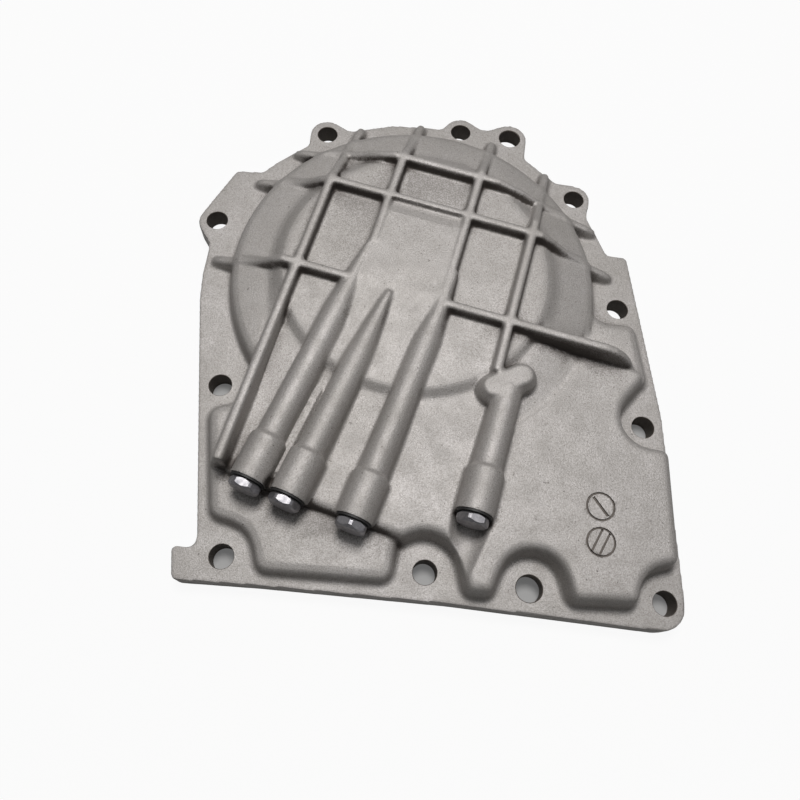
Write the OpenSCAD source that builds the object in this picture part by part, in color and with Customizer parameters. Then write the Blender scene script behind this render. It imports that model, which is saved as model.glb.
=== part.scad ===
// Rear cover of a transmission: a ribbed, domed aluminium casting on a wavy bolt flange,
// with four oil galleries that end in plugged collars, and a hub inside.
// Millimetres. The origin is on the hub's axis, in the gasket face. Z points out of the gearbox.

/* [Flange] */
// thickness of the bolt flange
flange_t = 9; // [8:0.5:10]
// diameter of the bolt holes
bolt_hole_d = 9; // [8.4:0.1:9.4]
// diameter of the two dowel holes
dowel_hole_d = 9.8; // [9.5:0.1:10.2]
// diameter of the seats for hollow dowels, in the gasket face
dowel_seat_d = 12; // [11.6:0.1:12.4]
// depth of the dowel seats
dowel_seat_h = 3.6; // [3:0.2:4.4]
// chamfer at the outer rim of the dowel holes
dowel_chamfer = 0.5; // [0.3:0.1:0.7]

/* [Body] */
// height of the main pad over the flange
pad_h = 10.5; // [9.5:0.5:11.5]
// height of the lower shelf over the flange
shelf_h = 6; // [5:0.5:6.5]
// height of the low shoulder at the right over the flange
shoulder_h = 5.6; // [5.2:0.2:6]
// height of the rounded wall at the dome's foot
wall_h = 5.9; // [5.5:0.1:6.3]
// height of the dome's rim over the flange
dome_h = 15.2; // [14.4:0.2:15.8]
// radius of the dome's rim
dome_r = 58; // [57:0.5:59]
// radius of the dome's foot on the flange
dome_foot_r = 78; // [77:0.5:79]
// height of the raised panel over the hub, above the flange
panel_h = 18.8; // [18:0.2:19.2]

/* [Ribs] */
// height of the level rib crests over the flange
rib_h = 19.5; // [19:0.25:20.5]
// width of a rib at its crest
rib_w = 3.2; // [2.8:0.1:3.6]
// turn of the rib grid about the hub
grid_turn = -8.6; // [-9.5:0.1:-7.5]
// radius at which the crests start down the dome
crest_r = 54.5; // [54:0.5:56]
// radius at which the ribs end on the flange
rib_end_r = 86.5; // [85.5:0.5:87]
// height of the rib ends on the flange
rib_end_h = 0.8; // [0.6:0.1:1.2]

/* [Galleries] */
// height of the gallery axes over the flange
gallery_z = 13.9; // [13.5:0.1:14.2]
// diameter of a gallery's outside
gallery_d = 11.2; // [10.8:0.1:11.6]
// diameter of the collar at the open end
collar_d = 14; // [13.6:0.1:14.4]
// length of the collar
collar_l = 16.5; // [15.5:0.5:17.5]
// diameter of the drilled oil way
oilway_d = 5.5; // [5:0.25:6]
// diameter of the plug's screwed hole
plug_bore_d = 10; // [9.8:0.1:10.2]
// depth of the plug's screwed hole
plug_bore_l = 14; // [13:0.5:15]

/* [Gallery plugs] */
// size across the flats of the plug heads
plug_hex = 11; // [10.6:0.1:11.2]
// length of the plug heads
plug_head_l = 3.6; // [3.4:0.1:4]
// length of the plug shanks
plug_shank_l = 11; // [9:0.5:12]
// radial clearance between a shank and its hole
plug_gap = 0.03; // [0.02:0.01:0.05]
// thickness of the sealing ring under a head
seal_t = 0.8; // [0.6:0.1:1]
// outer diameter of the sealing ring
seal_d = 13; // [12.8:0.1:13.4]

/* [Hub and cavity] */
// wall thickness over the cavity
wall_t = 4.6; // [4.4:0.1:5]
// outer diameter of the hub
hub_d = 52; // [51:0.5:53]
// diameter of the bore in the hub
hub_bore_d = 26; // [25:0.5:27]
// depth of the bore in the hub
hub_bore_l = 15; // [14:0.5:16]
// outer diameter of the sealing rings on the hub
ring_d = 52.6; // [52.5:0.1:53]
// axial width of a sealing ring
ring_w = 2; // [1.8:0.1:2.2]
// axial clearance of a sealing ring in its groove
ring_gap = 0.1; // [0.05:0.05:0.2]
// depth of a ring groove
groove_h = 2.2; // [2:0.1:2.4]
// distance from one ring to the next
ring_pitch = 4.4; // [4.2:0.1:4.6]
// wall of the bush in the hub
bush_t = 1.5; // [1.2:0.1:1.8]
// length of the bush
bush_l = 12; // [11:0.5:13]

/* [Smoothness] */
// facets of large circles
$fn = 72; // [48:12:96]
// largest turn between two points of an outline
arc_step = 20; // [15:1:24]

/* [Hidden] */
eps = 0.01;
z0 = flange_t;              // top of the flange
edge_round = 2.6;           // rounding along the top of the body walls
edge_in = 5.2;              // inset at which a body top is flat
bolt_bosses = 8;            // radius of the bolt bosses
bay_r = 10;                 // radius of the bays round the lower bolts
apron_h = 13.4;             // height of the apron at the dome's rim
apron_r = 84;               // radius at which the apron has run out on the pad

// Bolt holes, clockwise from the upper left, and the two dowel holes
hole_a = [-50, 74.5];
hole_b = [12, 87];
hole_c = [35.5, 87.5];
hole_d = [67.5, 57];
hole_e = [-89.5, 18.5];
hole_f = [88.5, 2];
hole_g = [-70.5, -58.5];
hole_h = [99.5, -51];
hole_i = [-55, -124.5];
hole_j = [19, -120];
hole_k = [57.5, -120.5];
hole_l = [107.5, -119];
bolts = [hole_a, hole_b, hole_d, hole_e, hole_f, hole_g, hole_h, hole_i, hole_j, hole_l];
dowels = [hole_c, hole_k];
valley = (hole_b + hole_c) / 2 + [-0.9, 2.6];  // edge of the flange between two top bosses

// Galleries: middle of the open end, and direction away from it
gallery_end = [[-48.8, -98.4], [-33.7, -102.3], [-9.1, -107.2], [33.3, -99.2]];
gallery_dir = [74.4, 74, 76.6, 80.3];
gallery_len = [109.5, 91, 108.6, 51];
feed_at = [107, 90, 99, 51];       // distance along a gallery to its cross drilling
skirt = 7;                  // half width of a gallery at its foot
tip_l = 32;                 // length of the tapered gallery tips
tip_d = 3.6;                // diameter at the point of a gallery tip
tip_slope = atan((gallery_d - tip_d) / 2 / tip_l);

cross_at = gallery_end[3] + gallery_len[3] * [cos(gallery_dir[3]), sin(gallery_dir[3])];
cross_d = 12.4;             // diameter of the cross boss
mark_at = [[79.8, -89.1], [80.2, -102.2]];  // the two casting marks
mark_r = 5.5;               // radius of a mark's ring
mark_line = 0.8;            // width of the lines of the marks
mark_depth = 0.6;           // depth of the marks
slot_l = 8.6;               // length of the slot in the upper mark
slot_w = 1.1;               // width of that slot
bar_l = 9;                  // length of the bar in the lower mark
bar_w = 3.8;                // width over the two lines of that bar

// Rib grid offsets, in the turned frame
rib_a = [-45.7, -19.5, 14.8, 42.6];
rib_b = [49.3, 28.2, -15.5];

// Vertices that hold an arc about c from angle a0 to a1 in n equal turns
function bay(c, r, a0, a1, n = 1) = [for (i = [0:n - 1])
  let (h = abs(a1 - a0) / (2 * n), a = a0 + (a1 - a0) * (i + 0.5) / n)
  [c.x + r / cos(h) * cos(a), c.y + r / cos(h) * sin(a), 0.965 * r]];

// An outline corner of radius r, placed from a hole
function at(h, dx, dy, r) = [h.x + dx, h.y + dy, r];
function slope(p, q) = atan((q.y - p.y) / (q.x - p.x));
// Angle at a boss between the direction to v and the point where the edge from v touches it
function wrap(v, h) = acos(bolt_bosses / norm(v - h));
function cross2(a, b) = a.x * b.y - a.y * b.x;
// Points of one rounded corner v between p and q, moved inward by d
function corner(p, v, q, d) = let (
    u = ([v.x, v.y] - [p.x, p.y]) / norm([v.x, v.y] - [p.x, p.y]),
    w = ([q.x, q.y] - [v.x, v.y]) / norm([q.x, q.y] - [v.x, v.y]),
    s = cross2(u, w) > 0 ? 1 : -1,
    g = acos(max(-1, min(1, u * w))),
    r = v.z,
    out = [u.y, -u.x],
    c = [v.x, v.y] - u * r * tan(g / 2) - s * r * out,
    n = max(1, ceil(g / arc_step)))
  [for (i = [0:n]) let (a = s * g * i / n)
    c + (s * r - d) * [out.x * cos(a) - out.y * sin(a), out.x * sin(a) + out.y * cos(a)]];

// All points of a closed outline, moved inward by d
function outline(v, d = 0) = let (n = len(v)) [for (k = [0:n - 1])
  let (c = corner(v[(k + n - 1) % n], v[k], v[(k + 1) % n], d),
       f = corner(v[k], v[(k + 1) % n], v[(k + 2) % n], d)[0],
       last = len(c) - 1)
  for (i = [0:last]) if (i < last || norm(c[i] - f) > 0.12) c[i]];

// Inset and height along a cast wall of height h
function wall_line(h) = let (i0 = 1.4 + (h - edge_round - 1.4) * 0.18) [
  [0, 0], [0.8, 0.45], [1.4, 1.4], [i0, h - edge_round],
  [i0 + 0.85, h - 0.8], [edge_in, h]];

// A body with drafted, rounded walls over the flange: a closed band round a flat core
module cast_body(v, h, sink) {
  line = concat([[edge_in + 0.3, h], [edge_in + 0.3, -sink], [0, -sink]], wall_line(h));
  rings = [for (q = line) outline(v, q[0])];
  n = len(rings[0]);
  m = len(line);
  translate([0, 0, z0]) {
    polyhedron(
      points = [for (j = [0:m - 1]) for (i = [0:n - 1]) [rings[j][i].x, rings[j][i].y, line[j][1]]],
      faces = [for (j = [0:m - 1]) for (i = [0:n - 1]) let (k = (i + 1) % n, l = (j + 1) % m)
        for (t = [[j * n + i, l * n + i, j * n + k], [j * n + k, l * n + i, l * n + k]]) t]);
    translate([0, 0, -sink]) linear_extrude(h + sink) polygon(outline(v, edge_in));
  }
}

// Outline of the bolt flange, anticlockwise from the lower right corner
flange_v = concat(
  [[116.3, -128.8, 9.5], [107.3, -45.5, 40], [92.3, 29.2, 2.5], [83.3, 29.1, 2], at(hole_d, 6.1, -8.7, 4),
   at(hole_d, 8.7, 7.8, 7.6), at(hole_d, -8.9, 7.9, 6), at(hole_c, 7.7, -10.7, 4)],
  bay(hole_c, bolt_bosses, -2, 180 + slope(valley, hole_c) - wrap(valley, hole_c), 2), [[valley.x, valley.y, 5]],
  bay(hole_b, bolt_bosses, slope(hole_b, valley) + wrap(valley, hole_b), 146, 1),
  [at(hole_b, -9.2, 0.4, 3.5), [-21.1, 87.8, 78], at(hole_a, 10.3, 3.8, 2.5)],
  bay(hole_a, bolt_bosses, 65, 185, 2),
  [at(hole_a, -7.4, -7.7, 4), [-67.5, 57.6, 60], [-75.2, 47.9, 3], [-86.9, 46.6, 3]],
  bay(hole_e, bolt_bosses, 159, 219, 1),
  [at(hole_e, -0.6, -12.1, 6), [-89.2, -15.5, 60], [-64.5, -122.9, 3.5], [-73.9, -122.9, 1.6],
   [-71, -134.9, 2.5], [-40, -132.9, 60], [29, -129.9, 60]]);

// Foot of the main pad, from inside the dome down its left side and round the bolt bays
pad_v = concat(
  [[-50.4, -17.7, 6], [-62.6, -97.2, 6], [-23.4, -106.6, 40], [9.25, -113.2, 5.8]],
  bay(hole_j, bay_r + 0.3, 130, 18, 2), [[32.5, -128.4, 5.8], [44.6, -127.6, 5.8]],
  bay(hole_k, bay_r, 165, 20, 2), [[70.2, -126.4, 5.8], [97.1, -123.9, 5.8]],
  bay(hole_l, bay_r - 0.2, 172, 108, 1), [[112.1, -107.2, 5.8], [108.6, -60.4, 5.8]],
  bay(hole_h, bay_r - 0.7, 266, 145, 2), [[103.2, -29.1, 5.8], [45, -20.3, 6]]);

// Foot of the lower shelf, from the left side round the bottom
shelf_v = [[-52, -60.5, 6], [-73.6, -69.2, 6.5], [-63, -112.6, 6.5], [-47.9, -115.3, 10],
  [-41.8, -130.2, 6.5], [8.6, -127.3, 6.5], [9.2, -104, 6], [-50, -80, 6]];

// Foot of the low shoulder between the dome and the right edge
shoulder_v = concat([[72, -40, 6], [102.3, -36.5, 5.8], [95.6, -5.2, 5.8]],
  bay(hole_f, bay_r - 1.2, 268, 200, 1), [[64, 5, 6], [58, -22, 6]]);

// Upper side of the dome: flat middle, soft rim, even slope, and a low rounded wall at the foot
dome_line = [[0, 0], [0, dome_h + 0.2], [34, dome_h], [dome_r - 6, dome_h - 0.1],
  [dome_r - 2.5, dome_h - 0.5], [dome_r + 0.8, dome_h - 1.5], [dome_r + 4.2, 11.9], [66.5, 9.8],
  [dome_foot_r - 7.5, wall_h + 2], [dome_foot_r - 4.2, wall_h + 0.5], [dome_foot_r - 2.6, wall_h - 0.5],
  [dome_foot_r - 1.7, wall_h - 1.8], [dome_foot_r - 1.2, 2], [dome_foot_r - 0.7, 0.7], [dome_foot_r, 0]];
module dome() translate([0, 0, z0]) rotate_extrude($fn = 96)
  polygon(concat([[0, -1.2]], [for (i = [1:len(dome_line) - 1]) dome_line[i]],
    [[dome_foot_r, -1.2]]));

// A straight drafted bar from p to q, its crest level at height h over the flange
module bar(p, q, h, down, west = 0) {
  d = q - p;
  w = rib_w / 2;
  low = w + 0.3 + 0.075 * h;
  translate([p.x, p.y, z0]) rotate([90, 0, atan2(d.y, d.x) + 90]) linear_extrude(norm(d))
    polygon([[-low, -down], [-w - 0.3, h - 0.9], [-w + 0.5, h], [w - 0.5, h], [w + 0.3, h - 0.9],
      [west > 0 ? west : low, -down]]);
}

// Height of a rib crest over the flange at radius r: level, down the dome, then a low stub
function crest_at(r) = lookup(r, [[0, rib_h], [crest_r, rib_h], [crest_r + 5.5, 15.9], [66.5, 11.4],
  [dome_foot_r - 5, 7.6], [dome_foot_r, 5.6], [rib_end_r - 3.5, 4.2], [rib_end_r - 0.8, 2.8],
  [rib_end_r, rib_end_h]]);

// A grid rib along X at offset o, with a station at each place in s
module rib(s, o, down = 1.5, own = []) {
  cuts = [for (i = [0:len(s) - 1]) let (x = s[i], h = len(own) > 0 ? own[i] : crest_at(norm([x, o])),
      t = lookup(h, [[rib_end_h, 0.4], [4.2, 1]]), w = t * rib_w / 2, e = t * 0.5,
      low = w + 0.3 + 0.075 * rib_h, d = min(0.9, 0.7 * h))
    [for (q = [[-low, -down], [-w - 0.3, h - d], [-w + e, h], [w - e, h], [w + 0.3, h - d],
      [low, -down]]) [x, o + q.x, z0 + q.y]]];
  n = len(cuts);
  polyhedron(points = [for (c = cuts) for (q = c) q],
    faces = concat([for (j = [1:4]) [0, j + 1, j]],
      [for (j = [1:4]) [6 * n - 6, 6 * n - 6 + j, 6 * n - 6 + j + 1]],
      [for (i = [0:n - 2]) for (j = [0:5]) let (a = 6 * i + j, b = 6 * i + (j + 1) % 6)
        for (t = [[a, b, a + 6], [b, b + 6, a + 6]]) t]));
}

// Stations of a rib at offset o that runs out over the flange at one end or at both
steps = [crest_r, crest_r + 5.5, 66.5, dome_foot_r - 5, dome_foot_r, rib_end_r - 3.5, rib_end_r - 0.8,
  rib_end_r];
function run_out(o) = [for (r = steps) if (r > abs(o) + 1) sqrt(r * r - o * o)];
function run_in(o) = let (q = run_out(o)) [for (i = [len(q) - 1:-1:0]) -q[i]];

module ribs() rotate([0, 0, grid_turn]) {
  rotate([0, 0, 90]) {
    rib(concat([-15], run_out(rib_a[0])), -rib_a[0]);
    rib(concat([4], run_out(rib_a[1])), -rib_a[1]);
    rib(concat([-11], run_out(rib_a[2])), -rib_a[2]);
    rib(concat([-16], run_out(rib_a[3])), -rib_a[3]);
  }
  translate([0, 0, -0.05]) {
    rib(concat(run_in(rib_b[0]), run_out(rib_b[0])), rib_b[0], 1.8);
    rib(concat(run_in(rib_b[1]), run_out(rib_b[1])), rib_b[1], 1.8);
    rib(concat(run_in(rib_b[2]), [-22]), rib_b[2], 1.8);
  }
  // long left rib over the shelf, short rib to the cross boss, and the tall gusset at the right
  bar([rib_a[0], -101.8], [rib_a[0], -8], rib_h - 0.1, 2.1, 7.2);
  bar([rib_a[3], -38], [rib_a[3], -8], rib_h - 0.1, 2.1);
  translate([0, 0, -0.05]) rib([rib_a[2] + 1, 82, 86, 89.5, 92.5, 95, 97], rib_b[2], 2.4,
    [rib_h, rib_h, rib_h - 0.8, rib_h - 2.8, rib_h - 5.8, rib_h - 9.5, 5]);
}

// Raised panel between the two middle ribs, over the hub
module hub_panel() rotate([0, 0, grid_turn]) translate([rib_a[1], 0, z0]) rotate([90, 0, 90])
  linear_extrude(rib_a[2] - rib_a[1] - 0.2)
  polygon([[rib_b[1] - 0.3, 7], [rib_b[1] - 0.3, panel_h], [rib_b[1] - 8, panel_h], [-13, panel_h + 0.4],
    [-26, panel_h - 1.9], [-42, dome_h - 0.5], [-42, 7]]);

// Low apron between the dome and the pad
module apron() translate([0, 0, z0]) intersection() {
  rotate_extrude($fn = 96) polygon([[0, 1], [apron_r, 1], [apron_r, pad_h - 0.3], [dome_r + 3.2, apron_h],
    [0, apron_h]]);
  linear_extrude(apron_h + 3) polygon(outline(pad_v, edge_in + 0.4));
}

// Places its children on a gallery, with the gallery along +Z and the open end at 0
module on_gallery(k) translate([gallery_end[k].x, gallery_end[k].y, z0 + gallery_z])
  rotate([90, 0, gallery_dir[k] + 90]) children();

module gallery_bosses() {
  for (k = [0:3]) on_gallery(k) {
    cylinder(d = collar_d, h = collar_l, $fn = 48);
    translate([0, 0, collar_l - eps]) cylinder(d1 = collar_d, d2 = gallery_d, h = 1.4, $fn = 48);
    cylinder(d = gallery_d, h = gallery_len[k] - (k < 3 ? tip_l : 0), $fn = 48);
    // drafted sides below the round top
    translate([0, 0, 0.4]) linear_extrude(collar_l - 0.6)
      polygon([[-collar_d / 2 + 0.3, 1], [collar_d / 2 - 0.3, 1], [skirt + 1.2, -7], [-skirt - 1.2, -7]]);
    translate([0, 0, 3]) linear_extrude(gallery_len[k] - (k < 3 ? tip_l + 3.5 : 3))
      polygon([[-gallery_d / 2 + 0.25, 1], [gallery_d / 2 - 0.25, 1], [skirt, -6.4], [-skirt, -6.4]]);
    // tapered tip whose upper side stays level, so that it fades into the raised panel
    if (k < 3) translate([0, 0, gallery_len[k] - tip_l - 0.6]) rotate([-tip_slope, 0, 0])
      cylinder(d1 = gallery_d, d2 = tip_d, h = tip_l, $fn = 48);
  }
  // cross boss at the head of the fourth gallery
  hull() for (q = [[-6.1, -1.3], [4.5, 5.1]]) translate([cross_at.x + q.x, cross_at.y + q.y, z0]) {
    translate([0, 0, gallery_z - 2]) cylinder(d = cross_d, h = 3, $fn = 28);
    translate([0, 0, gallery_z]) cylinder(d = cross_d - 4.6, h = 5.2, $fn = 28);
    translate([0, 0, 4]) cylinder(d = cross_d + 0.6, h = 2, $fn = 28);
  }
}

module hub() {
  cylinder(d = hub_d, h = z0 + dome_h, $fn = 96);
  translate([cross_at.x, cross_at.y, 5]) cylinder(d = 15, h = z0 + 4, $fn = 48);
}

// Cavity under the dome, the pad and the shelf
module cavity() {
  top = z0 + dome_h - wall_t - 2;
  difference() {
    union() {
      rotate_extrude($fn = 96) polygon([[0, -1], [71, -1], [71, 7.4], [dome_r - 2.5, top],
        [0, top]]);
      // under the pad, with the tongue below the fourth gallery left solid
      translate([0, 0, -1.2]) difference() {
        linear_extrude(z0 + pad_h - wall_t + 1.2) polygon(outline(pad_v, wall_t));
        translate([20, -140, -1]) cube([38, 38.6, 40]);
      }
      translate([0, 0, -1.4]) linear_extrude(z0 + shelf_h - wall_t + 1.4)
        polygon(outline(shelf_v, wall_t));
    }
    hub();
  }
}

module ring_groove(k) translate([0, 0, 1.6 + k * ring_pitch]) difference() {
  cylinder(d = ring_d + 4, h = ring_w + ring_gap, $fn = 96);
  translate([0, 0, -1]) cylinder(d = hub_d - 2 * groove_h, h = ring_w + 3, $fn = 96);
}

module drillings() {
  for (h = bolts) translate([h.x, h.y, -1]) cylinder(d = bolt_hole_d, h = z0 + 2, $fn = 48);
  for (h = dowels) translate([h.x, h.y, 0]) {
    translate([0, 0, -1]) cylinder(d = dowel_hole_d, h = z0 + 2, $fn = 48);
    translate([0, 0, -1]) cylinder(d = dowel_seat_d, h = dowel_seat_h + 1, $fn = 48);
    translate([0, 0, z0 - dowel_chamfer])
      cylinder(d1 = dowel_hole_d, d2 = dowel_hole_d + 4 * dowel_chamfer, h = 2 * dowel_chamfer, $fn = 48);
  }
  for (k = [0:3]) {
    on_gallery(k) {
      translate([0, 0, -1]) cylinder(d = plug_bore_d, h = plug_bore_l + 1, $fn = 48);
      cylinder(d = oilway_d, h = feed_at[k], $fn = 32);
    }
    // cross drilling from the gallery down into the hub, or through the boss below
    p = gallery_end[k] + feed_at[k] * [cos(gallery_dir[k]), sin(gallery_dir[k])];
    low = k == 3 ? -1 : 3.55 + k * ring_pitch;
    translate([p.x, p.y, low]) cylinder(d = oilway_d - 1, h = z0 + gallery_z - low, $fn = 32);
    if (k < 3) translate([p.x, p.y, low + 1.3]) rotate([0, 0, atan2(p.y, p.x)]) rotate([0, 90, 0])
      cylinder(d = 1.6, h = 12, $fn = 16);
  }
  translate([0, 0, -1]) cylinder(d = hub_bore_d, h = hub_bore_l + 1, $fn = 72);
  for (k = [0:3]) ring_groove(k);
  // room for the fourth plug, cut down through the tongue
  on_gallery(3) translate([0, 0, -30]) cylinder(d1 = 9, d2 = 17, h = 30 - eps, $fn = 48);
}

// Two round casting marks on the pad, one with a slot and one with a bar
module marks() {
  for (m = mark_at) translate([m.x, m.y, z0 + pad_h - mark_depth]) difference() {
    cylinder(r = mark_r, h = 2, $fn = 48);
    translate([0, 0, -1]) cylinder(r = mark_r - mark_line, h = 4, $fn = 48);
  }
  translate([mark_at[0].x, mark_at[0].y, z0 + pad_h]) rotate([0, 0, -50])
    cube([slot_l, slot_w, 2 * mark_depth], center = true);
  translate([mark_at[1].x, mark_at[1].y, z0 + pad_h]) rotate([0, 0, 66]) difference() {
    cube([bar_l, bar_w, 2 * mark_depth], center = true);
    cube([bar_l - 1.4, bar_w - 2 * mark_line, 3], center = true);
  }
}

module cover_casting() color([0.67, 0.665, 0.65]) difference() {
  union() {
    linear_extrude(flange_t) polygon(outline(flange_v));
    dome();
    cast_body(pad_v, pad_h, 0.6);
    cast_body(shelf_v, shelf_h, 0.8);
    cast_body(shoulder_v, shoulder_h, 1);
    ribs();
    hub_panel();
    apron();
    gallery_bosses();
  }
  cavity();
  drillings();
  marks();
}

// A screwed plug: hexagon head with chamfered ends, and shank
module gallery_plug(k, turn) color([0.62, 0.62, 0.63]) on_gallery(k) {
  translate([0, 0, -seal_t - plug_head_l]) intersection() {
    rotate([0, 0, turn]) cylinder(d = plug_hex / cos(30), h = plug_head_l, $fn = 6);
    union() {
      cylinder(d1 = plug_hex * 0.92, d2 = plug_hex * 1.1, h = 1, $fn = 48);
      translate([0, 0, 1]) cylinder(d = plug_hex * 1.1, h = plug_head_l - 2, $fn = 48);
      translate([0, 0, plug_head_l - 1])
        cylinder(d1 = plug_hex * 1.1, d2 = plug_hex * 0.92, h = 1, $fn = 48);
    }
  }
  translate([0, 0, -seal_t - 1]) cylinder(d = plug_bore_d - 2 * plug_gap - 1.6, h = seal_t + 2, $fn = 48);
  cylinder(d = plug_bore_d - 2 * plug_gap, h = plug_shank_l, $fn = 48);
}
module plug_1() gallery_plug(0, 0);
module plug_2() gallery_plug(1, 4);
module plug_3() gallery_plug(2, 30);
module plug_4() gallery_plug(3, 12);

// Sealing ring between a plug head and the collar's face
module plug_seal(k) color([0.07, 0.07, 0.07]) on_gallery(k) translate([0, 0, -seal_t])
  difference() {
    cylinder(d = seal_d, h = seal_t - eps, $fn = 48);
    translate([0, 0, -1]) cylinder(d = plug_bore_d - 1.4, h = seal_t + 2, $fn = 48);
  }
module seal_1() plug_seal(0);
module seal_2() plug_seal(1);
module seal_3() plug_seal(2);
module seal_4() plug_seal(3);

// Plain bearing bush in the hub
module hub_bush() color([0.72, 0.53, 0.3]) difference() {
  cylinder(d = hub_bore_d - 0.02, h = bush_l, $fn = 72);
  translate([0, 0, -1]) cylinder(d = hub_bore_d - 2 * bush_t, h = bush_l + 2, $fn = 72);
}

// Sealing ring in a hub groove
module hub_ring(k) color([0.2, 0.2, 0.21])
  translate([0, 0, 1.6 + k * ring_pitch + ring_gap / 2]) difference() {
    cylinder(d = ring_d, h = ring_w, $fn = 96);
    translate([0, 0, -1]) cylinder(d = hub_d - 2 * groove_h + 0.6, h = ring_w + 2, $fn = 96);
  }
module hub_ring_1() hub_ring(0);
module hub_ring_2() hub_ring(1);
module hub_ring_3() hub_ring(2);
module hub_ring_4() hub_ring(3);

cover_casting();
plug_1();
plug_2();
plug_3();
plug_4();
seal_1();
seal_2();
seal_3();
seal_4();
hub_bush();
hub_ring_1();
hub_ring_2();
hub_ring_3();
hub_ring_4();
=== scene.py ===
# %% [markdown]
# # The rear cover of a transmission
# One aluminium casting closes the back of a gearbox. It is a ribbed dome on a wavy bolt
# flange, with four oil galleries that end in plugged collars. The CAD model gives every
# size and place; this script gives the casting its soft, bead-blasted skin, and each
# metal its finish. Everything is in metres, in the same frame as the CAD model.

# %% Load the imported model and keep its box
import math

import bmesh
import bpy
import numpy as np
from mathutils import Matrix, Vector
from mathutils.bvhtree import BVHTree


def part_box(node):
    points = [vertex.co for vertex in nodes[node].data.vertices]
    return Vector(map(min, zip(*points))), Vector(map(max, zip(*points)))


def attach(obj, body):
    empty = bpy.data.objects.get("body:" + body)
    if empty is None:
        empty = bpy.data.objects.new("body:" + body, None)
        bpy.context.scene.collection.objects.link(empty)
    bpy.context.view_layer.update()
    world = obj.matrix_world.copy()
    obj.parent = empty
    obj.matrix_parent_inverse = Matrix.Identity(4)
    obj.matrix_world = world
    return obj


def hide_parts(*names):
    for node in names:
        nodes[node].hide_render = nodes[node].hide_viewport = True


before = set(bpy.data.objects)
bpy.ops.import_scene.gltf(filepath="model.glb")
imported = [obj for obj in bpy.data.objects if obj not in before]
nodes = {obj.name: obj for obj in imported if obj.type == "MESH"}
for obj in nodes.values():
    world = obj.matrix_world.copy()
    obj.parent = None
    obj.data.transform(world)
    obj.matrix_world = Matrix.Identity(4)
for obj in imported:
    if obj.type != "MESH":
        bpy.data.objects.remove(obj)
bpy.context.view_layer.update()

scene = bpy.context.scene
MM = 0.001
print("CAD nodes:", sorted(nodes))

# %% [markdown]
# ## Camera
# The cover lies on its gasket face and was photographed from above its lower edge, with
# the camera a little rolled. The place and the three turns come from fitting the round
# bolt holes of the flange to the picture, so no shift of the lens is needed.

# %% Set the camera at the picture's viewing angle
PICTURE = 800       # width and height of the picture, in pixels
FOCAL = 700.54      # focal length, in pixels
camera_data = bpy.data.cameras.new("camera")
camera_data.sensor_width = 36.0
camera_data.lens = camera_data.sensor_width * FOCAL / PICTURE
camera_data.clip_start = 0.01
camera = bpy.data.objects.new("camera", camera_data)
camera.location = Vector((1.2, -160.755, 268.637)) * MM
camera.rotation_euler = [math.radians(a) for a in (22.152, -3.0545, 7.4569)]
scene.collection.objects.link(camera)
scene.camera = camera
scene.view_settings.view_transform = "Standard"
print("lens %.2f mm" % camera_data.lens)

# %% [markdown]
# ## Shader maths
# A pattern is easier to read as arithmetic than as a net of nodes. `Wire` holds one
# output socket. Its signs add Math nodes, so `(grain - 0.5) * 0.25` works. `Finish` makes
# one material, and its `node` method makes any other node.

# %% Wrap sockets so that expressions make nodes


class Wire:
    """An output socket that can be added, subtracted and multiplied."""

    def __init__(self, finish, socket):
        self.finish, self.socket = finish, socket

    def math(self, operation, *values):
        sockets = dict(enumerate(values))
        return self.finish.node("ShaderNodeMath", {"operation": operation}, sockets)

    def __add__(self, other):
        return self.math("ADD", self, other)

    def __sub__(self, other):
        return self.math("SUBTRACT", self, other)

    def __mul__(self, other):
        return self.math("MULTIPLY", self, other)


class Finish:
    """A material or a world, made of nodes that its methods add."""

    def __init__(self, name, kind="materials"):
        self.made = getattr(bpy.data, kind).new(name)
        self.made.use_nodes = True
        self.tree = self.made.node_tree
        self.tree.nodes.clear()

    def node(self, kind, settings, sockets, out=0):
        made = self.tree.nodes.new(kind)
        for name, value in settings.items():
            setattr(made, name, value)
        for name, value in sockets.items():
            if isinstance(value, Wire):
                self.tree.links.new(value.socket, made.inputs[name])
            else:
                made.inputs[name].default_value = value
        return Wire(self, made.outputs[out]) if len(made.outputs) else made

    def place(self, stretch=(1, 1, 1)):
        """Where a point is on the piece, in metres."""
        where = self.node("ShaderNodeTexCoord", {}, {}, "Object")
        if stretch == (1, 1, 1):
            return where
        return self.node("ShaderNodeMapping", {}, {"Vector": where, "Scale": stretch}, "Vector")

    def noise(self, size, detail=2.0, rough=0.5, stretch=(1, 1, 1)):
        """Grey noise, 0 to 1, with lumps about size mm across."""
        return self.node("ShaderNodeTexNoise", {"noise_dimensions": "3D"}, {
            "Vector": self.place(stretch), "Scale": 1 / (size * MM), "Detail": detail,
            "Roughness": rough}, "Fac")

    def ramp(self, value, low, high, to_low=0.0, to_high=1.0):
        """value from low to high becomes to_low to to_high, and stays there outside."""
        return self.node("ShaderNodeMapRange", {"clamp": True}, {
            "Value": value, "From Min": low, "From Max": high,
            "To Min": to_low, "To Max": to_high}, "Result")

    def mix(self, factor, a, b):
        """Colour a where factor is 0 and b where it is 1."""
        return self.node("ShaderNodeMix", {"data_type": "RGBA"}, {0: factor, 6: a, 7: b}, 2)

    def stored(self, name):
        """A number kept with the mesh."""
        return self.node("ShaderNodeAttribute", {"attribute_name": name}, {}, "Fac")

    def bump(self, height, distance, strength=1.0, under=None):
        """Bumps distance mm high where height goes from 0 to 1."""
        sockets = {"Height": height, "Distance": distance * MM, "Strength": strength}
        if under:
            sockets["Normal"] = under
        return self.node("ShaderNodeBump", {}, sockets, "Normal")

    def surface(self, sockets):
        shader = self.node("ShaderNodeBsdfPrincipled", {}, sockets, "BSDF")
        self.node("ShaderNodeOutputMaterial", {}, {"Surface": shader})
        return self.made


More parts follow.
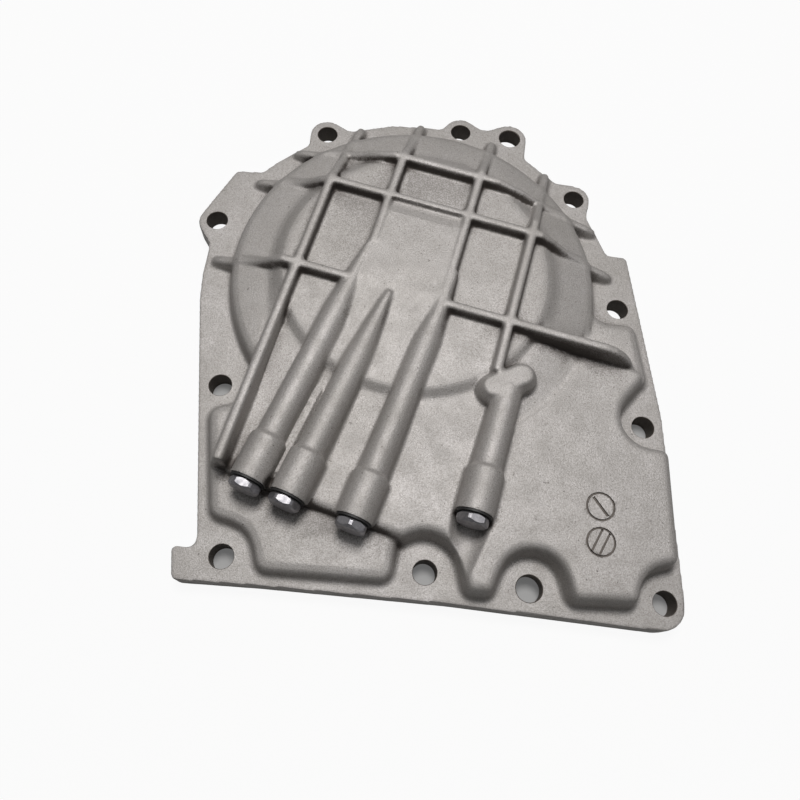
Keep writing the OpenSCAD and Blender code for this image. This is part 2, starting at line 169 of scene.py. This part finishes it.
def tone(r, g, b):
    """A colour from its screen values, 0 to 255."""
    linear = [((c / 255 + 0.055) / 1.055) ** 2.4 if c > 10 else c / 3294 for c in (r, g, b)]
    return (*linear, 1.0)


print("light aluminium is", [round(c, 3) for c in tone(172, 170, 166)])

# %% [markdown]
# ## Cast aluminium
# The skin is bead-blasted: matte, light grey, with a grain of a few tenths of a
# millimetre and small dark pits. Soft clouds of slightly warmer and greener grey lie
# over it. Corners and the walls that face the lower right are painted dark brown as
# shade, with some dirt among it. Where a tool has cut, the metal is smoother.

# %% Make the materials of the cast skin and of the machined places
cast = Finish("cast_aluminium")
shade_and_dirt = cast.stored("shade_and_dirt")
cloud = cast.noise(38, 3, 0.55)
patch = cast.noise(9, 3, 0.6)
grain = cast.noise(0.46, 2, 0.6)
fine = cast.noise(0.25, 1, 0.5)
pit = cast.ramp(cast.noise(1.1, 1, 0.4), 0.73, 0.78)

skin_tone = cast.mix(cast.ramp(cloud, 0.35, 0.65), tone(175, 171, 168), tone(187, 183, 181))
skin_tone = cast.mix(cast.ramp(patch, 0.4, 0.75, 0.0, 0.35), skin_tone, tone(160, 156, 151))
skin_tone = cast.mix(cast.ramp(grain, 0.36, 0.66, 0.0, 0.75), skin_tone, tone(138, 134, 128))
skin_tone = cast.mix(pit * 0.65, skin_tone, tone(84, 79, 74))
# Painted shade, with some dirt: where the stored value is high, in corners and on walls that face
# the lower right, the skin turns dark brown.
shade_and_dirt_mix = cast.ramp(shade_and_dirt + (grain - 0.5) * 0.25, 0.12, 0.44, 0.0, 0.92)
skin_tone = cast.mix(shade_and_dirt_mix, skin_tone, tone(64, 57, 52))
skin_bump = cast.bump(grain, 0.14)
skin_bump = cast.bump(fine, 0.06, 0.8, skin_bump)
cast_aluminium = cast.surface({
    "Base Color": skin_tone, "Metallic": 0.4,
    "Roughness": cast.ramp(patch, 0.3, 0.7, 0.5, 0.6), "Normal": skin_bump})

milled = Finish("machined_aluminium")
streak = milled.noise(0.5, 2, 0.5, (1, 1, 6))
machined_aluminium = milled.surface({
    "Base Color": milled.mix(streak, tone(150, 148, 145), tone(122, 119, 114)), "Metallic": 0.85,
    "Roughness": milled.ramp(milled.noise(4, 2), 0.3, 0.7, 0.32, 0.42),
    "Normal": milled.bump(streak, 0.02)})

# Painted shade: the walls of the bolt and dowel holes get this dark base colour for the shade
# inside them, and the marks' grooves get it too.
dark_shaded = Finish("dark_shaded_aluminium")
dark_shaded_aluminium = dark_shaded.surface({
    "Base Color": dark_shaded.mix(dark_shaded.noise(0.5, 2, 0.6), tone(80, 74, 69), tone(122, 115, 108)),
    "Metallic": 0.3, "Roughness": dark_shaded.ramp(dark_shaded.noise(2, 2), 0.3, 0.7, 0.6, 0.72),
    "Normal": dark_shaded.bump(dark_shaded.noise(0.3, 1, 0.5), 0.06)})
print("made", cast_aluminium.name, machined_aluminium.name, dark_shaded_aluminium.name)

# %% [markdown]
# ## The blank
# The CAD solid has crisp corners, but a casting has a fillet in each corner and soft
# edges, and only what a tool cuts afterwards is crisp. So the piece is made as in the
# foundry. A copy of the solid gets its holes filled and some spare metal on its faces.
# A voxel remesh lays an even net over it, and a smoothing rounds all its corners.

# %% Helpers for meshes and turned shapes


def link(name, mesh):
    made = bpy.data.objects.new(name, mesh)
    scene.collection.objects.link(made)
    return made


def settled(piece):
    """The piece's mesh with its modifiers applied."""
    bpy.context.view_layer.update()
    ready = piece.evaluated_get(bpy.context.evaluated_depsgraph_get())
    mesh = bpy.data.meshes.new_from_object(ready)
    piece.modifiers.clear()
    old, piece.data = piece.data, mesh
    bpy.data.meshes.remove(old)
    return mesh


def points(mesh):
    found = np.empty(len(mesh.vertices) * 3)
    mesh.vertices.foreach_get("co", found)
    return found.reshape(-1, 3)


TURN_STEPS = 64    # flat faces round a turned shape


def turn(into, profile, place=Matrix.Identity(4), closed=False, steps=TURN_STEPS):
    """Adds a shape turned from (radius, height) pairs in mm, on the axis of place."""
    shape = bmesh.new()
    corners = [shape.verts.new((r * MM, 0, h * MM)) for r, h in profile]
    pairs = list(zip(corners, corners[1:])) + ([(corners[-1], corners[0])] if closed else [])
    edges = [shape.edges.new(pair) for pair in pairs]
    bmesh.ops.spin(shape, geom=corners + edges, cent=(0, 0, 0), axis=(0, 0, 1),
                   angle=math.tau, steps=steps, use_merge=True)
    bmesh.ops.remove_doubles(shape, verts=shape.verts, dist=1e-7)
    bmesh.ops.recalc_face_normals(shape, faces=shape.faces)
    bmesh.ops.transform(shape, matrix=place, verts=shape.verts)
    held = bpy.data.meshes.new("turned")
    shape.to_mesh(held)
    shape.free()
    into.from_mesh(held)
    bpy.data.meshes.remove(held)


def rod(r, low, high):
    """Profile of a solid cylinder."""
    return (0, low), (r, low), (r, high), (0, high)


def ring(inner, outer, low, high):
    """Profile of a ring, to be turned closed."""
    return (inner, low), (outer, low), (outer, high), (inner, high)


def at(x, y, z=0.0):
    return Matrix.Translation(Vector((x, y, z)) * MM)


print("a turned shape has", TURN_STEPS, "steps")

# %% Places and sizes of what a tool cuts, in mm, as in the CAD model
FLANGE = 9.0                # thickness of the flange
PAD = 19.5                  # height of the pad
BOLTS = ((-50, 74.5), (12, 87), (67.5, 57), (-89.5, 18.5), (88.5, 2), (-70.5, -58.5),
         (99.5, -51), (-55, -124.5), (19, -120), (107.5, -119))
BOLT_R = 4.5
DOWELS = ((35.5, 87.5), (57.5, -120.5))
DOWEL_R = 4.9
SEAT_R, SEAT_H = 6.0, 3.6   # seat of a dowel in the gasket face
COLLARS = ((-48.8, -98.4, 74.4), (-33.7, -102.3, 74), (-9.1, -107.2, 76.6), (33.3, -99.2, 80.3))
GALLERY_Z = 22.9            # height of the galleries
PLUG_R, PLUG_L = 5.0, 14.0  # bore of a plug
SPOT_R = 7.2                # spot face round it
MARKS = ((79.8, -89.1), (80.2, -102.2))
MARK_R, MARK_LINE = 5.5, 0.8
MARK_DEPTH = 0.6
HUB_R = 26.0
HUB_STEPS = 96              # flat faces round the hub
HUB_BORE_R, HUB_BORE_H = 13.0, 15.0
GROOVE_W, GROOVE_DEPTH = 2.1, 2.2
GROOVES = [1.6 + 4.4 * k for k in range(4)]   # heights of the hub's ring grooves


def on_gallery(x, y, heading):
    """The axis of a gallery, from its open end inwards."""
    return (at(x, y, GALLERY_Z) @ Matrix.Rotation(math.radians(heading + 90), 4, "Z")
            @ Matrix.Rotation(math.radians(90), 4, "X"))


print(len(BOLTS), "bolt holes,", len(DOWELS), "dowel holes,", len(COLLARS), "collars")

# %% Fill the holes of a copy and add spare metal
SPARE = 1.2        # spare metal under the gasket face
OVER = 0.4         # how much wider a filling is than its hole
MOUTH_R, MOUTH_L = 7, 3      # the filling of a plug's bore is wider at its mouth
GROOVE_TOP = 18.5            # how high the filling of the hub's grooves reaches
MARK_FILL = 2.0              # depth of the filling of a mark
blank = bmesh.new()
blank.from_mesh(nodes["cover_casting"].data)
bmesh.ops.remove_doubles(blank, verts=blank.verts, dist=2e-6)
foot = [f for f in blank.faces if f.normal.z < -0.9 and f.calc_center_median().z < 1e-5]
moved = bmesh.ops.extrude_face_region(blank, geom=foot)["geom"]
bmesh.ops.translate(blank, vec=(0, 0, -SPARE * MM),
                    verts=[v for v in moved if isinstance(v, bmesh.types.BMVert)])
for x, y in BOLTS:
    turn(blank, rod(BOLT_R + OVER, -SPARE, FLANGE), at(x, y))
for x, y in DOWELS:
    turn(blank, rod(SEAT_R + OVER, -SPARE, FLANGE), at(x, y))
for collar in COLLARS:
    turn(blank, ((0, -0.7), (MOUTH_R, -0.7), (MOUTH_R, MOUTH_L), (PLUG_R + 0.5, MOUTH_L),
                 (PLUG_R + 0.5, PLUG_L + 0.3), (0, PLUG_L + 0.3)), on_gallery(*collar))
for x, y in MARKS:
    turn(blank, rod(MARK_R + 0.7, PAD - MARK_FILL, PAD), at(x, y))
turn(blank, rod(HUB_BORE_R + OVER, -SPARE, HUB_BORE_H + 0.3))
turn(blank, ring(HUB_R - GROOVE_DEPTH - OVER, HUB_R, -SPARE, GROOVE_TOP), closed=True)
rough_mesh = bpy.data.meshes.new("casting_skin")
blank.to_mesh(rough_mesh)
blank.free()
print("the blank starts with", len(rough_mesh.vertices), "points")

# %% Lay an even net over it and smooth it
VOXEL = 0.6        # side of a voxel, mm
SOFTEN = 7         # passes of smoothing
skin = link("casting_skin", rough_mesh)
net = skin.modifiers.new("net", "REMESH")
net.mode, net.voxel_size = "VOXEL", VOXEL * MM
soften = skin.modifiers.new("soften", "SMOOTH")
soften.factor, soften.iterations = 0.5, SOFTEN
settled(skin)
print("the net has", len(skin.data.vertices), "points")

# %% [markdown]
# ## Forms of the cast skin
# The skin is a little softer than the solid. Outside its flat top, the dome drops in a
# short steep step and then slopes gently to a rounded foot. The corners beside the long
# rib and the gusset are filled. A shallow groove runs along a rib on the panel, the panel
# bends gently, and a low web joins the first two galleries. Each is a change of height.

# %% Tables of heights, in mm, and how they are read
STEP = ((54.5, 0), (56.5, -0.8), (58.8, -2.1), (60.5, -2.1), (62.2, -1.6), (66.5, -0.2),
        (70.5, 0.9), (73, 1.6), (75.5, 1.9), (76.8, 1.4), (78, 0))   # radius and change
STEP_ON_PAD = ((54, 0), (55, -0.3), (57.5, -1.5), (59, -1.6), (64, -1.1), (72, -0.5), (84, 0))
VAULT = ((55.5, 17.6), (71, 7.4))                # radius and height of the hollow
DOME = ((34, 24.2), (52, 24.1), (55.5, 23.7), (58.8, 22.7), (62.2, 20.9), (66.5, 18.8),
        (70.5, 16.9), (73.8, 15.4), (76.3, 13.1), (78, 9))   # radius and height of the dome
APRON = ((58, 22.9), (77, 20.2), (84, 19.5))     # the same of the cone round it on the pad
RIB_GROOVE = ((20, 0), (24, -0.9), (26, -1.1), (26.6, -0.8), (27.2, 0))
WEB = ((-96.9, -40.6), (-75.9, -35.0), (-52.9, -28.4))       # y and x of the web
WEB_H = 2.4                    # height of the web over the pad
BEND_Y, BEND_DEPTH = -12, 0.45
GRID_TURN = math.radians(8.6)  # the grid of ribs is turned by this
LONG_RIB, GUSSET = -45.7, -15.5   # their middle lines, across and along the grid
TOP_SIDE = 18.3                # what is higher belongs to the top side of the pad


def table(pairs, value):
    """Reads a table of pairs at value, on even slopes between its rows."""
    return np.interp(value, *zip(*pairs))


def band(value, low, high):
    """0 up to low, 1 from high and an even rise between."""
    return np.clip((value - low) / (high - low), 0, 1)


print("the dome is %.1f mm high at its step" % table(DOME, STEP[0][0]))

# %% Fill the corners beside the ribs and give the dome its step
net_points = points(skin.data) / MM
x, y, level = net_points.T.copy()
radius = np.hypot(x, y)
across = x * math.cos(GRID_TURN) - y * math.sin(GRID_TURN)
along = x * math.sin(GRID_TURN) + y * math.cos(GRID_TURN)
dome = table(DOME, radius)
cone = np.maximum(dome, table(APRON, radius))
beside_ribs = (across > LONG_RIB) & (along < GUSSET) & (radius > 55) & (radius < 84)
level = np.where(beside_ribs & (level > TOP_SIDE), np.maximum(level, cone), level)

by_flange = np.maximum(band(y, -22, -12), band(-x, 52, 58))   # the rest is by the pad
by_flange_step = (by_flange - 0.35 * band(x, 25, 45)) * table(STEP, radius)
change = by_flange_step + (1 - by_flange) * table(STEP_ON_PAD, radius)
over_hollow = band(level - table(VAULT, radius), 1, 3)
ground = np.where(by_flange < 0.5, cone, dome)
no_rib = 1 - band(level - ground, 0.5, 3)
raised = level + change * over_hollow * no_rib
print("the step lowers the slope by up to %.1f mm" % -change.min())

# %% Add the groove, the bend and the web


def on_panel(left, right, fade):
    """1 between left and right across the grid, rising over fade mm from either side."""
    return band(across, left, left + fade) * band(-across, -right, fade - right)


raised += table(RIB_GROOVE, along) * on_panel(-19, 14, 2) * (level > 25)
bend = 0.5 + 0.5 * np.cos(math.pi * band(abs(y - BEND_Y), 0, 9))
raised -= BEND_DEPTH * bend * on_panel(-19, 13, 3) * (level > 26) * (level < 28.3)
web = (1 - band(abs(x - table(WEB, y)), 1.4, 3.4)) * band(y, -97, -94) * band(-y, 50, 62)
in_web = (raised > TOP_SIDE) & (web > 0)
raised = np.where(in_web, np.maximum(raised, PAD + WEB_H * web), raised)
net_points[:, 2] = raised
skin.data.vertices.foreach_set("co", (net_points * MM).ravel())
print("the web lies over", int(in_web.sum()), "points")

# %% Thin the net out where it is plain
TRIANGLES = 160000   # triangles that the net keeps
thin = skin.modifiers.new("thin", "DECIMATE")
thin.ratio = TRIANGLES / (2 * len(skin.data.polygons))
settled(skin)
skin.data.materials.clear()
skin.data.materials.append(cast_aluminium)
print("thinned to", len(skin.data.polygons), "faces")

# %% [markdown]
# ## Machining
# Each tool is a turned or a boxed shape, and a Boolean takes it out of the blank: the
# gasket face, bolt holes, dowel seats, the plugs' bores with their spot faces, and the hub.
# Most tools wear the machined material, so that each face they cut gets that finish. The
# drills and the marks wear a darker one: painted shade on the walls of the holes, and the
# same dark colour in the marks' grooves.

# %% Make the tools and cut


def cut(tool_shape, name, finish=machined_aluminium):
    """Takes a tool out of the skin and frees the tool."""
    mesh = bpy.data.meshes.new(name)
    tool_shape.to_mesh(mesh)
    tool_shape.free()
    mesh.materials.append(finish)
    tool = link(name, mesh)
    step = skin.modifiers.new(name, "BOOLEAN")
    step.operation, step.object, step.solver = "DIFFERENCE", tool, "MANIFOLD"
    step.material_mode = "TRANSFER"
    before = len(skin.data.polygons)
    settled(skin)
    print(name, "changed", before, "faces to", len(skin.data.polygons))
    bpy.data.objects.remove(tool)


mill = bmesh.new()
under_part = at(10, -20, -4) @ Matrix.Diagonal((0.4, 0.4, 0.008, 1))   # its top is the gasket face
bmesh.ops.create_cube(mill, size=1.0, matrix=under_part)
cut(mill, "gasket_face")

LOW, HIGH = -3, 12           # where a drill starts and ends, below and above the flange
CHAMFER = 0.4                # widening of a hole at the flange's upper face
drills = bmesh.new()
for x, y in BOLTS:
    turn(drills, ((0, LOW), (BOLT_R, LOW), (BOLT_R, FLANGE - 0.2), (BOLT_R + CHAMFER, FLANGE + 0.2),
                  (BOLT_R + CHAMFER, HIGH), (0, HIGH)), at(x, y))
for x, y in DOWELS:
    turn(drills, ((0, LOW), (SEAT_R, LOW), (SEAT_R, SEAT_H), (DOWEL_R, SEAT_H),
                  (DOWEL_R, FLANGE - 0.3), (DOWEL_R + CHAMFER, FLANGE + 0.1),
                  (DOWEL_R + CHAMFER, HIGH), (0, HIGH)), at(x, y))
# The hole walls get the dark material, as painted shade inside the holes.
cut(drills, "drills", dark_shaded_aluminium)

bores = bmesh.new()
for collar in COLLARS:
    turn(bores, ((0, -1), (SPOT_R, -1), (SPOT_R, 0), (PLUG_R, 0), (PLUG_R, PLUG_L), (0, PLUG_L)),
         on_gallery(*collar))
turn(bores, rod(HUB_BORE_R, LOW, HUB_BORE_H))
cut(bores, "bores")

lathe = bmesh.new()
for low in GROOVES:
    groove = ring(HUB_R - GROOVE_DEPTH, HUB_R + 1, low, low + GROOVE_W)
    turn(lathe, groove, closed=True, steps=HUB_STEPS)
cut(lathe, "grooves")

# %% Sink the two round marks
ONE_BAR = ((0, 8.6, 1.1),)                  # offset, length and width of each bar
TWO_BARS = ((1.5, 9, 0.8), (-1.5, 9, 0.8))
mark_ring = ring(MARK_R - MARK_LINE, MARK_R, PAD - MARK_DEPTH, PAD + 1)
marks = bmesh.new()
for x, y in MARKS:
    turn(marks, mark_ring, at(x, y), closed=True)
for (x, y), turned, bars in ((MARKS[0], -50, ONE_BAR), (MARKS[1], 66, TWO_BARS)):
    middle = at(x, y, PAD) @ Matrix.Rotation(math.radians(turned), 4, "Z")
    for up, long, wide in bars:
        shape = Matrix.Diagonal((long, wide, 2 * MARK_DEPTH, 1))
        bmesh.ops.create_cube(marks, size=MM, matrix=middle @ at(0, up) @ shape)
cut(marks, "marks", dark_shaded_aluminium)

# %% Keep the piece inside the CAD box
mesh = skin.data
lowest, highest = (np.array(c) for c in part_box("cover_casting"))
ends = np.clip(points(mesh), lowest, highest)
mesh.vertices.foreach_set("co", ends.ravel())
mesh.update()
print("the skin reaches from", (lowest / MM).round(2), "to", (highest / MM).round(2))

# %% [markdown]
# ## Painted shade in sheltered places
# Each point looks out in a few directions and stores how much of its view other metal
# hides, near metal the most, and the skin is painted darker there, as shade with some dirt.
# Some places get more painted shade: the upper left cells, where there is dirt as well,
# the gusset, the step below the plugs and the walls that face the lower right. The web gets less.

# %% Store how sheltered each point is, for the painted shade
LOOKS = 14         # directions that each point looks in
REACH = 7.0        # how far it looks, mm
LIFT = 0.05        # how far over the skin it stands while it looks, mm
BLENDS = 3         # passes that even the result out between neighbours
sight = BVHTree.FromPolygons(ends.tolist(), [f.vertices[:] for f in mesh.polygons])
out = np.empty(len(mesh.vertices) * 3)
mesh.vertices.foreach_get("normal", out)
out = out.reshape(-1, 3)
side = np.cross(out, np.where(abs(out[:, 2:]) < 0.8, (0.0, 0.0, 1.0), (1.0, 0.0, 0.0)))
side /= np.linalg.norm(side, axis=1)[:, None]
third = np.cross(out, side)
starts = (ends + out * LIFT * MM).tolist()
shade_and_dirt_level = np.zeros(len(out))
for k in range(LOOKS):
    away = math.sqrt((k + 0.5) / LOOKS)
    turned = k * math.pi * (3 - math.sqrt(5))
    look = (side * (away * math.cos(turned)) + third * (away * math.sin(turned))
            + out * math.sqrt(1 - away * away))
    for i, (start, heading) in enumerate(zip(starts, look.tolist())):
        distance = sight.ray_cast(start, heading, REACH * MM)[3]
        if distance is not None:
            shade_and_dirt_level[i] += (1 - distance / (REACH * MM)) / LOOKS
ties = np.empty(len(mesh.edges) * 2, dtype=np.int64)
mesh.edges.foreach_get("vertices", ties)
first, second = ties.reshape(-1, 2).T
count = np.bincount(ties, minlength=len(shade_and_dirt_level))
for _ in range(BLENDS):
    near = (np.bincount(first, shade_and_dirt_level[second], len(shade_and_dirt_level))
            + np.bincount(second, shade_and_dirt_level[first], len(shade_and_dirt_level)))
    shade_and_dirt_level = (shade_and_dirt_level + near) / (1 + count)
print("hidden from %.2f to %.2f" % (shade_and_dirt_level.min(), shade_and_dirt_level.max()))

# %% Add more painted shade at some places, with dirt in the upper left
BELOW_PLUGS = ((-57, -100), (-46, -103), (-34, -106), (-22, -108), (-9, -111), (4, -114))
SHADE_AND_DIRT_SPOTS = ((-25, 45, 60, 0.7), (35, -106, 17, 1.6), (72, -22, 40, 1.0),
         *((*spot, 10, 1.6) for spot in BELOW_PLUGS))   # x, y, radius and gain
WEB_LESS_SHADE = 0.6        # share of the painted shade that the web does without
WALL_SHADE = 0.7        # painted shade added to walls that face the lower right
here_x, here_y, here_z = ends.T / MM
gain = np.ones(len(shade_and_dirt_level))
for x, y, wide, most in SHADE_AND_DIRT_SPOTS:
    away = np.hypot(here_x - x, here_y - y)
    gain = np.maximum(gain, 1 + most * (1 - band(away, wide / 2, wide)))
shade_and_dirt_level *= gain
by_web = 1 - band(abs(here_x - table(WEB, here_y)), 2.5, 5)
shade_and_dirt_level *= 1 - WEB_LESS_SHADE * by_web * band(here_y, -99, -96) * band(-here_y, 50, 62)
ribs = band(here_z, 12, 15) * band(here_y, -36, -28)
pad_step = band(gain, 1.1, 1.5) * (here_z > 13) * (here_z < 19.8)
pad_step *= band(-here_x, -8, -2) * (here_y < -90)
facing = out[:, 0] * 0.55 - out[:, 1] * 0.83    # how much a wall faces the lower right
shade_and_dirt_level += WALL_SHADE * np.maximum(ribs, pad_step) * np.clip(facing - 0.25, 0, 0.6)
# The stored value darkens the cast skin: painted shade, with some dirt.
layer = mesh.attributes.new("shade_and_dirt", "FLOAT", "POINT")
layer.data.foreach_set("value", shade_and_dirt_level.astype(np.float32))
print("sheltered, mean %.2f" % shade_and_dirt_level.mean())

# %% Finish the piece
SHARP = 35         # edges that turn more than this stay crisp, degrees
mesh.shade_smooth()
mesh.set_sharp_from_angle(angle=math.radians(SHARP))
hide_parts("cover_casting")
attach(skin, "root")
print("the skin has", len(mesh.polygons), "faces and", [m.name for m in mesh.materials])

# %% [markdown]
# ## Plugs, seals, bush and rings
# The plugs are turned and zinc plated, the seals are black rubber, the bush in the hub is
# bronze and the rings are dark iron. The CAD shapes are right, so they only get finishes.

# %% Make the small parts' materials
zinc = Finish("zinc_steel")
swirl = zinc.noise(1.6, 3, 0.6)
plug_steel = zinc.surface({
    "Base Color": zinc.mix(zinc.ramp(swirl, 0.35, 0.7), tone(172, 170, 172), tone(140, 139, 143)),
    "Metallic": 1.0, "Roughness": zinc.ramp(swirl, 0.3, 0.7, 0.48, 0.58),
    "Normal": zinc.bump(zinc.noise(0.3, 2, 0.5), 0.01)})

rubber = Finish("black_rubber")
seal_rubber = rubber.surface({
    "Base Color": rubber.mix(rubber.noise(0.8), tone(26, 26, 27), tone(44, 43, 42)),
    "Roughness": 0.6, "Normal": rubber.bump(rubber.noise(0.2, 2, 0.5), 0.01)})

bronze = Finish("bronze")
bush_bronze = bronze.surface({
    "Base Color": bronze.mix(bronze.noise(3, 3, 0.6), tone(178, 138, 88), tone(150, 112, 70)),
    "Metallic": 1.0, "Roughness": bronze.ramp(bronze.noise(1.2, 3), 0.3, 0.7, 0.3, 0.42),
    "Normal": bronze.bump(bronze.noise(0.15, 1, 0.5, (1, 1, 0.05)), 0.006)})

iron = Finish("ring_iron")
ring_iron = iron.surface({
    "Base Color": iron.mix(iron.noise(2, 3, 0.6), tone(84, 84, 88), tone(62, 61, 62)),
    "Metallic": 1.0, "Roughness": iron.ramp(iron.noise(1, 3), 0.3, 0.7, 0.35, 0.48),
    "Normal": iron.bump(iron.noise(0.15, 1, 0.5, (1, 1, 0.05)), 0.006)})

for name, piece in nodes.items():
    for word, finish in (("plug", plug_steel), ("seal", seal_rubber), ("bush", bush_bronze),
                         ("hub_ring", ring_iron)):
        if word in name:
            piece.data.materials.clear()
            piece.data.materials.append(finish)
            print(name, "has", finish.name)

# %% [markdown]
# ## Floor and light
# The cover lies on a plain white floor under one large soft lamp, almost overhead and a
# little behind the dome. Camera rays see the floor nearly white, and a part of it still
# takes light, so that the cover keeps a shadow. Under the lower holes grey discs are a
# painted shadow, where the floor glows less. The metal mirrors little of the floor, and a
# sky that is bright overhead and dark lower down, so level faces are bright and walls are dark.

# %% Lay the floor
FLOOR_SIDE = 6.0
sheet = bmesh.new()
bmesh.ops.create_grid(sheet, x_segments=1, y_segments=1, size=FLOOR_SIDE / 2)
floor_mesh = bpy.data.meshes.new("floor")
sheet.to_mesh(floor_mesh)
sheet.free()
floor = link("floor", floor_mesh)
pale = Finish("pale_floor")
camera_ray = pale.node("ShaderNodeLightPath", {}, {}, "Is Camera Ray")
glossy_ray = Wire(pale, camera_ray.socket.node.outputs["Is Glossy Ray"])
WHITE_SEEN, WHITE_MIRRORED = 0.88, 0.15   # how much of the floor glows, seen and mirrored
SHADOW_DISC_R = 6.8, 7.6            # radii between which a painted shadow disc under a hole fades, mm
SHADOW_DISC_GLOW = 0.12            # how much of the glow is left in a painted shadow disc
FLOOR_GREY = (0.35, 0.35, 0.3465, 1)
# Painted shadow: where the camera looks through the lower holes, grey discs on the floor glow less.
outside = 1.0
for x, y in (*BOLTS[5:], DOWELS[1]):
    spot = tuple(Vector((x * 1.02, y + 1.2, 0)) * MM)    # where the camera looks through
    away = pale.node("ShaderNodeVectorMath", {"operation": "DISTANCE"},
                     {0: pale.place(), 1: spot}, "Value")
    outside = pale.ramp(away, SHADOW_DISC_R[0] * MM, SHADOW_DISC_R[1] * MM, SHADOW_DISC_GLOW) * outside
lit = pale.node("ShaderNodeBsdfDiffuse", {}, {"Color": FLOOR_GREY})
glow = pale.node("ShaderNodeEmission", {}, {"Color": (1, 1, 1, 1), "Strength": 1.06})
share = (camera_ray * WHITE_SEEN + glossy_ray * WHITE_MIRRORED) * outside
both = pale.node("ShaderNodeMixShader", {}, {0: share, 1: lit, 2: glow})
pale.node("ShaderNodeOutputMaterial", {}, {"Surface": both})
floor.data.materials.append(pale.made)
print("the floor is", FLOOR_SIDE, "m wide")

# %% Light the scene
SKY_LOW, SKY_HIGH = 0.02, 0.13   # strength of the sky at the horizon and overhead
SKY_MIRRORED = 0.75          # strength of the upper sky in mirrored light
studio = Finish("studio", "worlds")
scene.world = studio.made
seen = studio.node("ShaderNodeLightPath", {}, {}, "Is Camera Ray")
mirrored = Wire(studio, seen.socket.node.outputs["Is Glossy Ray"])
sky = studio.node("ShaderNodeTexCoord", {}, {}, "Generated")
height = studio.node("ShaderNodeSeparateXYZ", {}, {"Vector": sky}, "Z")
plain = studio.ramp(height, 0.0, 0.9, SKY_LOW, SKY_HIGH)
bright = studio.ramp(height, 0.5, 0.85, SKY_LOW, SKY_MIRRORED)
dim = studio.node("ShaderNodeBackground", {}, {
    "Color": (0.95, 0.97, 1.0, 1), "Strength": plain + (bright - plain) * mirrored})
white = studio.node("ShaderNodeBackground", {}, {"Color": (1, 1, 1, 1), "Strength": 1.0})
whole = studio.node("ShaderNodeMixShader", {}, {0: seen, 1: dim, 2: white})
studio.node("ShaderNodeOutputWorld", {}, {"Surface": whole})

LAMP_PLACE = Vector((-0.02, 0.2, 0.9))
LAMP_AIM = Vector((0, -0.03, 0))
LAMP_WIDE = 0.34                 # metres
LAMP_POWER = 6.5                 # watts
lamp = bpy.data.lights.new("key", "AREA")
lamp.shape, lamp.size, lamp.energy = "DISK", LAMP_WIDE, LAMP_POWER
lamp.color = (1.0, 0.985, 0.975)
lamp_holder = bpy.data.objects.new("key", lamp)
lamp_holder.location = LAMP_PLACE
lamp_holder.rotation_euler = (LAMP_AIM - LAMP_PLACE).to_track_quat("-Z", "Y").to_euler()
scene.collection.objects.link(lamp_holder)
